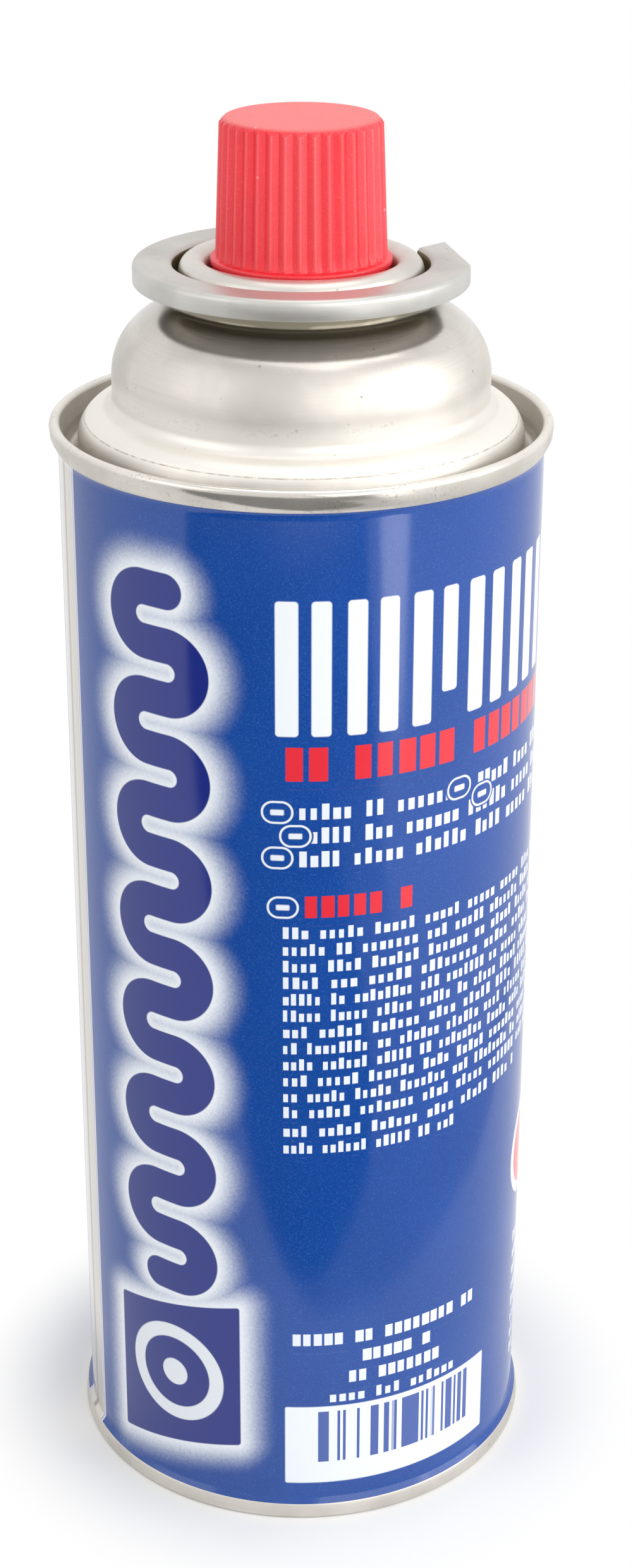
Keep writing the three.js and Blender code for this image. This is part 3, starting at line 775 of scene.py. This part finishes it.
def printed_wall():
    """Blue print over a white base coat, varnished, with an unprinted strip along the side weld."""
    m = Material("printed_wall", IOR=1.5, Specular_IOR_Level=0.6)
    p = Print(m)
    white = (0.80, 0.84, 0.88)
    deep = (0.008, 0.020, 0.20)
    red = srgb(222, 44, 58)
    grain = m.noise(4.6, 2.0, 0.6)
    blue = m.mix((0.003, 0.053, 0.28), (0.005, 0.059, 0.305), m.noise(0.05, 2.0).ramp(0.35, 0.7))
    blue = m.mix(blue, (0.036, 0.125, 0.45), grain.ramp(0.48, 0.74) * 0.5)

    # Upright winding ribbon and a leaning square, both with a sprayed white glow
    ribbon = p.winding(-19.7, 37.9, rings=7, pitch=7.5, reach=1.8, half=2.5)
    square = p.block(-29.8, -8.4, 9.2, 33.2, corner=0.5, lean=0.22)
    spray = m.noise(2.6, 3.0, 0.65) * 1.6 - 0.8
    glow = (ribbon.min(square) + spray).ramp(5.6, -0.4)
    colour = m.mix(blue, white, glow * (glow * 0.5 + 0.5))
    colour = m.mix(colour, deep, fill(ribbon).max(fill(square)))

    # Ring and spot on the square
    ring = p.disc(-19.1, 21.4, 7.0).near(0.0, 1.25, 1.0)
    colour = m.mix(colour, white, ring.max(fill(p.disc(-19.1, 21.4, 2.2))) * 0.92)

    # Tall white blocks, rows of red blocks and rows of small white blocks
    colour = m.mix(colour, white, tall_blocks(p))
    for row in RED_ROWS:
        colour = m.mix(colour, red, p.rows(*row))
    colour = m.mix(colour, white, small_blocks(p) * 0.94)

    # White panel with plain upright stripes
    stripe = m.random((p.s * 2.4).floor(), 3.0).ramp(0.5, 0.52) * p.window(3.0, 30.8, 9.4, 18.3)
    colour = m.mix(colour, white, fill(p.block(-1.8, 32.2, 5.7, 19.2)))
    colour = m.mix(colour, srgb(70, 94, 164), stripe)

    # Round spot at the right
    colour = m.mix(colour, white, fill(p.disc(49.0, 46.5, 8.0)))
    colour = m.mix(colour, red, fill(p.disc(49.0, 46.5, 6.4)))

    # Side weld: bare tinplate between two white base-coat margins
    weld = (p.s - WELD_PLACE).abs()
    bare = weld.ramp(3.4, 3.3)
    colour = m.mix(colour, srgb(226, 224, 232), weld.ramp(4.3, 4.2))
    colour = m.mix(colour, srgb(206, 202, 196), bare)
    colour = m.mix(colour, srgb(150, 140, 126), weld.ramp(0.6, 0.45) * 0.8)
    colour = m.mix(colour, srgb(126, 132, 168), weld.near(3.75, 0.22, 0.1) * 0.7)
    m.base(colour)
    m.drive("Metallic", bare * 0.9)
    m.drive("Roughness", m.noise(0.3, 3.0) * 0.06 + 0.09)
    m.bump(grain, 0.003)
    return m


# Pieces

def make_can():
    piece = lathe("can_shell", can_outline(), "canister", "can")
    shell = tinplate("bright_tinplate", srgb(209, 204, 196), 0.42, 0.006, can_wear_and_painted_light)
    wall = printed_wall()
    piece.data.materials.append(shell.material)
    piece.data.materials.append(wall.material)
    low = (BASE_SEAM_HEIGHT - 0.1) * MM
    high = (CAN_HEIGHT - TOP_SEAM_HEIGHT + 0.05) * MM
    for polygon in piece.data.polygons:
        centre = polygon.center
        radius = math.hypot(centre.x, centre.y)
        if low < centre.z < high and radius > (WALL_RADIUS - 0.5) * MM:
            polygon.material_index = 1
    sharpen(piece)


def collar_loop(inset, height):
    """The collar's outline at a height, drawn in from its edge."""
    outer = COLLAR_RADIUS - inset
    inner = COLLAR_HOLE + inset
    half = NOTCH_WIDTH / 2 + inset
    inner_corner = math.degrees(math.asin(half / inner))
    outer_corner = math.degrees(math.asin(half / outer))
    flat_end = math.degrees(math.asin(NOTCH_WIDTH / 2 / COLLAR_RADIUS)) + COLLAR_FLAT
    corner = arc(0, 0, outer, outer_corner, outer_corner, 1)[0]
    flat_far = arc(0, 0, outer, flat_end, flat_end, 1)[0]
    along = (flat_far - corner).normalized()
    cut = NOTCH_CORNER / (1 + inset)
    start, end = corner - Vector((cut, 0)), corner + along * cut
    near = []
    for i in range(11):
        t = i / 10
        near.append(start * (1 - t) ** 2 + corner * 2 * t * (1 - t) + end * t ** 2)
    flat = [near[-1].lerp(flat_far, i / 6) for i in range(1, 6)]
    edge_in = arc(0, 0, inner, 360 - inner_corner, inner_corner, 150)
    notch = [edge_in[-1].lerp(near[0], i / 5) for i in range(1, 5)]
    rim = arc(0, 0, outer, flat_end, 360 - flat_end, 150)
    loop = near + flat + rim + mirrored(flat) + mirrored(near) + mirrored(notch) + edge_in + notch
    turn = math.radians(NOTCH_ANGLE)
    return [(p.x * math.cos(turn) - p.y * math.sin(turn), p.x * math.sin(turn) + p.y * math.cos(turn), height)
            for p in loop]


def make_collar():
    """The pressed channel with a rolled edge all round its outline, and its flange ring below."""
    low = COLLAR_TOP - COLLAR_SKIRT
    rings = [(0.10, low), (0.0, low + 0.12), (0.0, COLLAR_TOP - COLLAR_EDGE)]
    for i in range(1, 7):
        angle = math.radians(90 * i / 6)
        rings.append((COLLAR_EDGE * (1 - math.cos(angle)), COLLAR_TOP - COLLAR_EDGE * (1 - math.sin(angle))))
    rings.append((COLLAR_FACE_INSET, COLLAR_TOP + 0.02))
    inside = [(COLLAR_FACE_INSET, COLLAR_TOP - COLLAR_SHEET)]
    for i in range(5, -1, -1):
        angle = math.radians(90 * i / 6)
        round_in = COLLAR_EDGE - COLLAR_SHEET
        inside.append((COLLAR_SHEET + round_in * (1 - math.cos(angle)),
                       COLLAR_TOP - COLLAR_SHEET - round_in * (1 - math.sin(angle))))
    inside += [(COLLAR_SHEET, low + 0.12), (COLLAR_SHEET - 0.1, low)]
    vertices, faces = [], []
    loops = [collar_loop(*ring) for ring in rings + inside]
    count = len(loops[0])
    for loop in loops:
        vertices += loop
    top, under = len(rings) - 1, len(rings)
    for i in range(len(loops)):
        if i == top:
            continue
        k = (i + 1) % len(loops)
        for j in range(count):
            n = (j + 1) % count
            faces.append((i * count + j, i * count + n, k * count + n, k * count + j))
    faces.append(tuple(top * count + j for j in range(count)))
    faces.append(tuple(under * count + j for j in reversed(range(count))))
    piece = new_piece("collar", vertices, faces, "canister", "collar_ring")
    metal = tinplate("satin_collar", srgb(201, 199, 194), 0.42, 0.008, collar_painted_shade)
    piece.data.materials.append(metal.material)
    sharpen(piece, 40)

    foot = NECK_HEIGHT + SEAT_GAP
    flange = lathe("collar_flange", [
        point(COLLAR_FLANGE_HOLE, foot), point(COLLAR_HOLE + 0.4, foot), point(COLLAR_HOLE + 0.5, foot + 0.1),
        point(COLLAR_HOLE + 0.5, low + 0.4), point(COLLAR_HOLE, low + 0.4),
        point(COLLAR_HOLE, foot + COLLAR_SHEET), point(COLLAR_FLANGE_HOLE, foot + COLLAR_SHEET),
    ], "canister", "collar_ring", closed=True)
    flange.data.materials.append(metal.material)
    sharpen(flange)


def make_valve_cup():
    """The mounting cup, one even sheet from its pedestal out to the rolled curl."""
    half = CUP_SHEET / 2
    curl_round = (CUP_CURL_RADIUS - CUP_WALL_RADIUS - CUP_SHEET) / 2
    curl_centre = CUP_WALL_RADIUS + half + curl_round
    curl_height = CUP_TOP - half - curl_round
    wall = CUP_WALL_RADIUS + half
    pedestal = PEDESTAL_RADIUS - half
    pedestal_top = PEDESTAL_TOP - half
    floor = CUP_FLOOR - half
    bead = curl_round - half - CUP_GASKET - 2 * SEAT_GAP
    clinch = curl_centre - bead + CLINCH_HOOK - half
    line = [
        point(STEM_HOLE, pedestal_top),
        point((STEM_HOLE + pedestal - PEDESTAL_ROUND) / 2, pedestal_top),
        *arc(pedestal - PEDESTAL_ROUND, pedestal_top - PEDESTAL_ROUND, PEDESTAL_ROUND, 90, 0, 8),
        *arc(pedestal + PEDESTAL_FOOT, floor + PEDESTAL_FOOT, PEDESTAL_FOOT, 180, 270, 8),
        *arc(wall - CUP_FLOOR_ROUND, floor + CUP_FLOOR_ROUND, CUP_FLOOR_ROUND, 270, 350, 8),
        point(clinch, CLINCH_HEIGHT - CLINCH_REACH / 4),
        point(clinch, CLINCH_HEIGHT + CLINCH_REACH / 4),
        point(wall, CLINCH_HEIGHT + CLINCH_REACH),
        *arc(curl_centre, curl_height, curl_round, 180, -45, 32),
    ]
    piece = lathe("mounting_cup", sheet_outline(line, CUP_SHEET), "canister", "valve_cup", closed=True)
    piece.data.materials.append(tinplate("cup_tinplate", srgb(216, 212, 205), 0.36, 0.007).material)
    sharpen(piece, 50)


def cap_radius_at(height):
    """Radius of the cap's tapering wall over its ribs."""
    ledge_top = CAP_LEDGE_BOTTOM + CAP_LEDGE_HEIGHT
    share = (height - ledge_top) / (CAP_TOP - ledge_top)
    return CAP_WALL_BOTTOM + (CAP_WALL_TOP - CAP_WALL_BOTTOM) * share


def make_cap():
    ledge_top = CAP_LEDGE_BOTTOM + CAP_LEDGE_HEIGHT
    bevel_foot = CAP_TOP - CAP_BEVEL
    edge = cap_radius_at(bevel_foot)
    wall_foot = ledge_top + CAP_WALL_FOOT
    wall = [wall_foot + (bevel_foot - wall_foot) * i / 18 for i in range(19)]
    bevel = [point(edge - CAP_BEVEL * i / 14, bevel_foot + CAP_BEVEL * i / 14) for i in range(1, 13)]
    face = edge - CAP_BEVEL - CAP_EDGE
    inner_wall = CAP_WALL_BOTTOM - CAP_WALL
    roof = CAP_TOP - CAP_ROOF
    snap_foot = CAP_SKIRT_BOTTOM + CAP_SKIRT_EDGE
    ledge_centre = CAP_LEDGE_RADIUS - CAP_LEDGE_ROUND
    outline = [
        point(0, roof),
        point(cap_radius_at(roof) - CAP_WALL - CAP_ROOF_BEVEL, roof),
        point(cap_radius_at(roof) - CAP_WALL, roof - CAP_ROOF_BEVEL),
        point(inner_wall, CAP_LEDGE_BOTTOM),
        point(inner_wall, CAP_SKIRT_BOTTOM),
        point(CAP_SKIRT - CAP_SKIRT_EDGE, CAP_SKIRT_BOTTOM),
        point(CAP_SKIRT, snap_foot),
        *(point(CAP_SKIRT + (CAP_SNAP - CAP_SKIRT) * math.sin(math.pi * i / 8),
                snap_foot + CAP_SNAP_HEIGHT * i / 8) for i in range(1, 9)),
        point(CAP_SKIRT, CAP_LEDGE_BOTTOM - CAP_SKIRT_EDGE),
        *arc(ledge_centre, CAP_LEDGE_BOTTOM + CAP_LEDGE_ROUND, CAP_LEDGE_ROUND, -60, 0, 4),
        *arc(ledge_centre, ledge_top - CAP_LEDGE_ROUND, CAP_LEDGE_ROUND, 0, 80, 5),
        point(CAP_WALL_BOTTOM + CAP_WALL_FOOT, ledge_top + 0.01),
        *(point(cap_radius_at(z), z) for z in wall),
        *bevel,
        point(face + CAP_EDGE * 0.75, CAP_TOP - CAP_EDGE * 0.22),
        point(face + CAP_EDGE * 0.35, CAP_TOP - CAP_EDGE * 0.05),
        *(point(face * (1 - i / 8), CAP_TOP) for i in range(9)),
    ]

    def fluted(radius, height, turn):
        """Cuts the V grooves into the outer wall and up through the bevel, where each ends in an arch."""
        if height <= ledge_top + 0.05 or radius < cap_radius_at(height) - CAP_BEVEL - 0.1:
            return radius
        across = abs(2 * ((turn * RIB_COUNT) % 1.0) - 1)
        groove = 1 - across
        groove = 0.82 * groove + 0.18 * groove * groove * (3 - 2 * groove)
        foot = min(1.0, max(0.0, (height - ledge_top - 0.05) / 0.15))
        return min(radius, cap_radius_at(height) - RIB_DEPTH * groove * foot)

    piece = lathe("ribbed_cap", outline, "lid", "cap", steps=RIB_COUNT * COLUMNS_PER_RIB, shape=fluted)
    piece.data.materials.append(red_plastic().material)
    sharpen(piece, 35)


def make_stem():
    outline = [
        point(0, STEM_BOSS_BOTTOM),
        point(STEM_BOSS_RADIUS - STEM_TIP_ROUND, STEM_BOSS_BOTTOM),
        point(STEM_BOSS_RADIUS, STEM_BOSS_BOTTOM + STEM_TIP_ROUND),
        point(STEM_BOSS_RADIUS, STEM_FLANGE_BOTTOM),
        point(STEM_FLANGE_RADIUS, STEM_FLANGE_BOTTOM),
        point(STEM_FLANGE_RADIUS, STEM_FLANGE_TOP),
        point(STEM_RADIUS, STEM_FLANGE_TOP),
        point(STEM_RADIUS, STEM_TOP - STEM_TIP_ROUND),
        *arc(STEM_RADIUS - STEM_TIP_ROUND, STEM_TOP - STEM_TIP_ROUND, STEM_TIP_ROUND, 15, 90, 6),
        *arc(STEM_BORE + STEM_BORE_ROUND, STEM_TOP - STEM_BORE_ROUND, STEM_BORE_ROUND, 90, 180, 3),
        point(STEM_BORE, STEM_FLANGE_TOP + STEM_BORE_RISE),
        point(0, STEM_FLANGE_TOP + STEM_BORE_RISE),
    ]
    piece = lathe("nozzle_stem", outline, "valve", "valve_stem", steps=STEM_STEPS)
    piece.data.materials.append(acetal().material)
    sharpen(piece, 40)


def make_spring():
    """The coil under the stem's flange, at the length of its CAD node.
    The real coil shortens towards its foot as the valve is pressed.
    """
    low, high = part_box("valve_spring")
    wire = SPRING_WIRE / 2
    foot = low[2] / MM
    height = high[2] / MM - foot - SPRING_WIRE
    steps, sides = SPRING_TURNS * SPRING_STEPS_PER_TURN, SPRING_SIDES
    vertices, faces = [], []
    for i in range(steps + 1):
        turn = 2 * math.pi * SPRING_TURNS * i / steps
        for j in range(sides):
            around = 2 * math.pi * j / sides
            radius = SPRING_RADIUS + wire * math.cos(around)
            vertices.append((radius * math.cos(turn), radius * math.sin(turn),
                             foot + wire + height * i / steps + wire * math.sin(around)))
    for i in range(steps):
        for j in range(sides):
            k = (j + 1) % sides
            faces.append((i * sides + j, i * sides + k, (i + 1) * sides + k, (i + 1) * sides + j))
    faces += [tuple(range(sides)), tuple(steps * sides + j for j in range(sides))]
    piece = new_piece("coil_spring", vertices, faces, "canister", "valve_spring")
    piece.data.materials.append(spring_wire().material)
    sharpen(piece, 60)
    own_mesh(piece)


def dress_hidden():
    """The housing and the gaskets keep their CAD shape and get their own materials."""
    finishes = {
        "valve_housing": acetal().material,
        "cup_gasket": rubber().material,
        "stem_gasket": rubber().material,
    }
    for name, material in finishes.items():
        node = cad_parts[name]
        node.data.materials.clear()
        node.data.materials.append(material)


# Stage, lights and camera

def flat_sheet(name, corners, height):
    mesh = bpy.data.meshes.new(name)
    mesh.from_pydata([(x, y, height) for x, y in corners], [], [tuple(range(len(corners)))])
    sheet = bpy.data.objects.new(name, mesh)
    bpy.context.scene.collection.objects.link(sheet)
    return sheet


def white_rays(tree):
    """1 for camera, glossy and transmission rays, which see the plain white background."""
    path = tree.nodes.new("ShaderNodeLightPath")
    share = Field(tree, path.outputs["Is Camera Ray"])
    for kind in ("Is Glossy Ray", "Is Transmission Ray"):
        share = share.max(Field(tree, path.outputs[kind]))
    return share


def make_stage():
    """A pale floor that turns to plain white away from the can, and cards that only reflections see."""
    half = FLOOR_HALF
    floor = flat_sheet("floor", ((-half, -half), (half, -half), (half, half), (-half, half)), -FLOOR_DROP)
    m = Material("pale_floor", Roughness=0.9)
    m.base(m.mix((0.90, 0.90, 0.90), (0.93, 0.93, 0.93), m.noise(0.004, 2.0)))
    white = m.tree.nodes.new("ShaderNodeEmission")
    share = m.radius.ramp(*FLOOR_FADE) * white_rays(m.tree)
    mix = m.tree.nodes.new("ShaderNodeMixShader")
    m.tree.links.new(share.socket, mix.inputs[0])
    m.tree.links.new(m.shader.outputs[0], mix.inputs[1])
    m.tree.links.new(white.outputs[0], mix.inputs[2])
    out = [node for node in m.tree.nodes if node.type == "OUTPUT_MATERIAL"][0]
    m.tree.links.new(mix.outputs[0], out.inputs["Surface"])
    floor.data.materials.append(m.material)

    mottle(reflection_card("dark_card", DARK_CARD, DARK_CARD_HEIGHT), DARK_CARD_GREY)
    grey = reflection_card("grey_card", GREY_CARD, GREY_CARD_HEIGHT)
    grey.base(grey.mix((0.06, 0.06, 0.065), (0.48, 0.48, 0.49), grey.y.ramp(-330.0, -150.0)))
    strip = reflection_card("bright_strip", BRIGHT_STRIP, BRIGHT_STRIP_HEIGHT)
    mottle(strip, BRIGHT_STRIP_GREY)
    strip.shader.inputs["Emission Color"].default_value = (1, 1, 1, 1)
    strip.shader.inputs["Emission Strength"].default_value = BRIGHT_STRIP_GLOW


def mottle(m, grey):
    """Gives a material a slightly uneven grey."""
    m.base(m.mix((grey,) * 3, (grey * 1.15,) * 3, m.noise(0.01, 2.0)))


def reflection_card(name, corners, height):
    """A card lying on the floor that only reflections see."""
    card = flat_sheet(name, corners, height)
    m = Material(name, Roughness=0.9)
    card.data.materials.append(m.material)
    card.visible_camera = False
    card.visible_diffuse = False
    card.visible_shadow = False
    card.visible_transmission = False
    return m


def make_world():
    """White for camera, glossy and transmission rays, and softer for the light that falls on the can."""
    world = bpy.data.worlds.new("soft_white")
    bpy.context.scene.world = world
    world.use_nodes = True
    tree = world.node_tree
    tree.nodes.clear()
    mix = tree.nodes.new("ShaderNodeMixShader")
    tree.links.new(white_rays(tree).socket, mix.inputs[0])
    for i, strength in ((1, WORLD_LIGHT), (2, 1.0)):
        background = tree.nodes.new("ShaderNodeBackground")
        background.inputs["Color"].default_value = (1, 1, 1, 1)
        background.inputs["Strength"].default_value = strength
        tree.links.new(background.outputs[0], mix.inputs[i])
    out = tree.nodes.new("ShaderNodeOutputWorld")
    tree.links.new(mix.outputs[0], out.inputs[0])


def lamp(name, place, target, size, power):
    data = bpy.data.lights.new(name, "AREA")
    data.shape = "RECTANGLE"
    data.size, data.size_y = size
    data.energy = power
    lamp_object = bpy.data.objects.new(name, data)
    bpy.context.scene.collection.objects.link(lamp_object)
    lamp_object.location = place
    lamp_object.rotation_euler = (Vector(target) - Vector(place)).to_track_quat("-Z", "Y").to_euler()


def make_camera():
    data = bpy.data.cameras.new("camera")
    data.sensor_width = SENSOR
    data.lens = FOCAL_PIXELS * SENSOR / FRAME_LONG_SIDE
    data.clip_start = 0.01
    camera = bpy.data.objects.new("camera", data)
    bpy.context.scene.collection.objects.link(camera)
    forward = Vector((math.sin(CAMERA_YAW) * math.cos(CAMERA_PITCH),
                      math.cos(CAMERA_YAW) * math.cos(CAMERA_PITCH), -math.sin(CAMERA_PITCH)))
    right = Vector((math.cos(CAMERA_YAW), -math.sin(CAMERA_YAW), 0))
    down = forward.cross(right)
    turned_right = right * math.cos(CAMERA_ROLL) + down * math.sin(CAMERA_ROLL)
    turned_down = down * math.cos(CAMERA_ROLL) - right * math.sin(CAMERA_ROLL)
    camera.matrix_world = Matrix((
        (turned_right.x, -turned_down.x, -forward.x, CAMERA_PLACE.x),
        (turned_right.y, -turned_down.y, -forward.y, CAMERA_PLACE.y),
        (turned_right.z, -turned_down.z, -forward.z, CAMERA_PLACE.z),
        (0, 0, 0, 1),
    ))
    bpy.context.scene.camera = camera


make_can()
make_collar()
make_valve_cup()
make_cap()
make_stem()
make_spring()
dress_hidden()
make_stage()
make_world()
for settings in LAMPS:
    lamp(*settings)
make_camera()
bpy.context.scene.view_settings.view_transform = "Standard"
